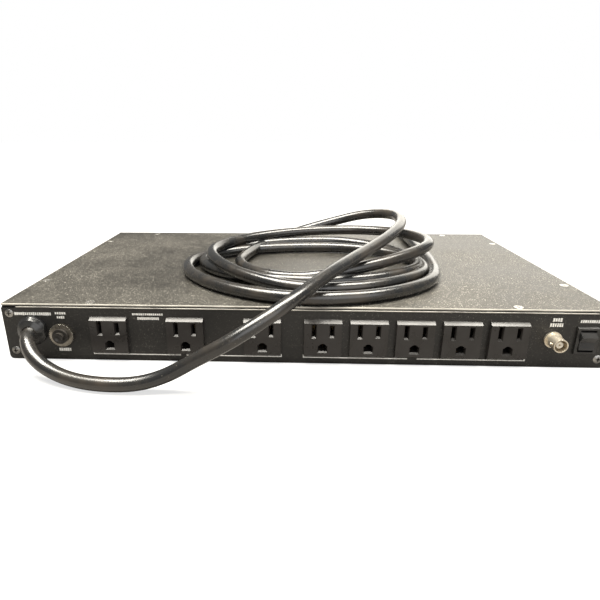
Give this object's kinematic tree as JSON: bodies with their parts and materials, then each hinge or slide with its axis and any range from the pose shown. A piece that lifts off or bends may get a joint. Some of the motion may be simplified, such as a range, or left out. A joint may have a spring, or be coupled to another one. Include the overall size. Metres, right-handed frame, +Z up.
{
  "type": "rack power strip",
  "caption": "Low black steel rack power strip with rear outlets, push-to-reset breaker, bayonet lamp socket, rocker switches and a captive cord coiled on its cover.",
  "frame": {"origin": "middle of the case's flat underside", "axes": "+X along the width, +Y from the rear wall with the outlets towards the front panel, +Z up"},
  "size_m": [0.432, 0.3787, 0.0857],
  "materials": {
    "blackened_steel": "blackened",
    "board_laminate": "glass laminate",
    "breaker_plastic": "black thermoset",
    "bushing_plastic": "glossy black nylon",
    "capacitor_yellow": "moulded",
    "case_paint": "satin black powder coat",
    "choke_copper": "enamelled copper",
    "cord_jacket": "semi-gloss black jacket",
    "core_black": "insulation",
    "core_green": "insulation",
    "core_red": "insulation",
    "core_steel": "varnished laminations",
    "core_white": "insulation",
    "cover_paint": "fine textured black paint, dusty and scratched",
    "fascia_finish": "satin black",
    "insulator_plastic": "off-white",
    "lens_green": "clear green",
    "lens_red": "clear red",
    "outlet_plastic": "moulded black, fine matt face",
    "plated_brass": "nickel plate, slightly yellowed",
    "plated_steel": "zinc plate",
    "plug_rubber": "moulded black",
    "rail_brass": "half-hard brass",
    "screw_steel": "black oxide",
    "switch_plastic": "fine spark texture",
    "varistor_blue": "dipped epoxy",
    "winding_tape": "tape"
  },
  "bodies": {
    "root": {"base_pan": "case_paint", "board_screws": "plated_steel", "board_standoffs": "plated_steel", "breaker_body": "breaker_plastic", "breaker_nut": "blackened_steel", "cover_screws": "screw_steel", "earth_core": "core_green", "earth_nut": "plated_steel", "earth_rail_bank_one": "rail_brass", "earth_rail_bank_two": "rail_brass", "earth_stud": "plated_steel", "filter_board": "board_laminate", "filter_capacitors": "capacitor_yellow", "filter_choke": "choke_copper", "front_panel": "fascia_finish", "front_screws": "screw_steel", "front_wall": "case_paint", "lamp_feed": "core_red", "lamp_return": "core_black", "lamp_socket_contact": "rail_brass", "lamp_socket_insulator": "insulator_plastic", "lamp_socket_nut": "plated_brass", "lamp_socket_shell": "plated_brass", "lamp_switch_housing": "switch_plastic", "live_core": "core_black", "live_rail_bank_one": "rail_brass", "live_rail_bank_two": "rail_brass", "master_switch_housing": "switch_plastic", "neutral_core": "core_white", "neutral_rail_bank_one": "rail_brass", "neutral_rail_bank_two": "rail_brass", "outlet_1": "outlet_plastic", "outlet_2": "outlet_plastic", "outlet_3": "outlet_plastic", "outlet_4": "outlet_plastic", "outlet_5": "outlet_plastic", "outlet_6": "outlet_plastic", "outlet_7": "outlet_plastic", "outlet_8": "outlet_plastic", "plug_blades": "rail_brass", "plug_body": "plug_rubber", "plug_earth_pin": "rail_brass", "power_cord": "cord_jacket", "power_cord_coil": "cord_jacket", "power_cord_tail": "cord_jacket", "power_indicator": "lens_red", "protection_indicator": "lens_green", "rear_screws": "screw_steel", "rear_wall": "case_paint", "shutdown_relay": "breaker_plastic", "strain_relief": "bushing_plastic", "strain_relief_nut": "bushing_plastic", "surge_varistors": "varistor_blue", "top_cover": "cover_paint", "transformer_core": "core_steel", "transformer_winding": "winding_tape"},
    "lamp_rocker": {"lamp_rocker": "switch_plastic"},
    "master_rocker": {"master_rocker": "switch_plastic"},
    "reset_button": {"reset_button": "breaker_plastic"}
  },
  "joints": [
    {"name": "lamp_rocker_tilt", "type": "hinge", "parent": "root", "child": "lamp_rocker", "pos_m": [0.1995, -0.124, 0.0212], "axis": [-1, 0, 0], "range_deg": [0, 20]},
    {"name": "master_rocker_tilt", "type": "hinge", "parent": "root", "child": "master_rocker", "pos_m": [0.172, 0.124, 0.02185], "axis": [1, 0, 0], "range_deg": [0, 20]},
    {"name": "reset_button_slide", "type": "slide", "parent": "root", "child": "reset_button", "axis": [0, -1, 0], "range_m": [0, 0.003]}
  ]
}
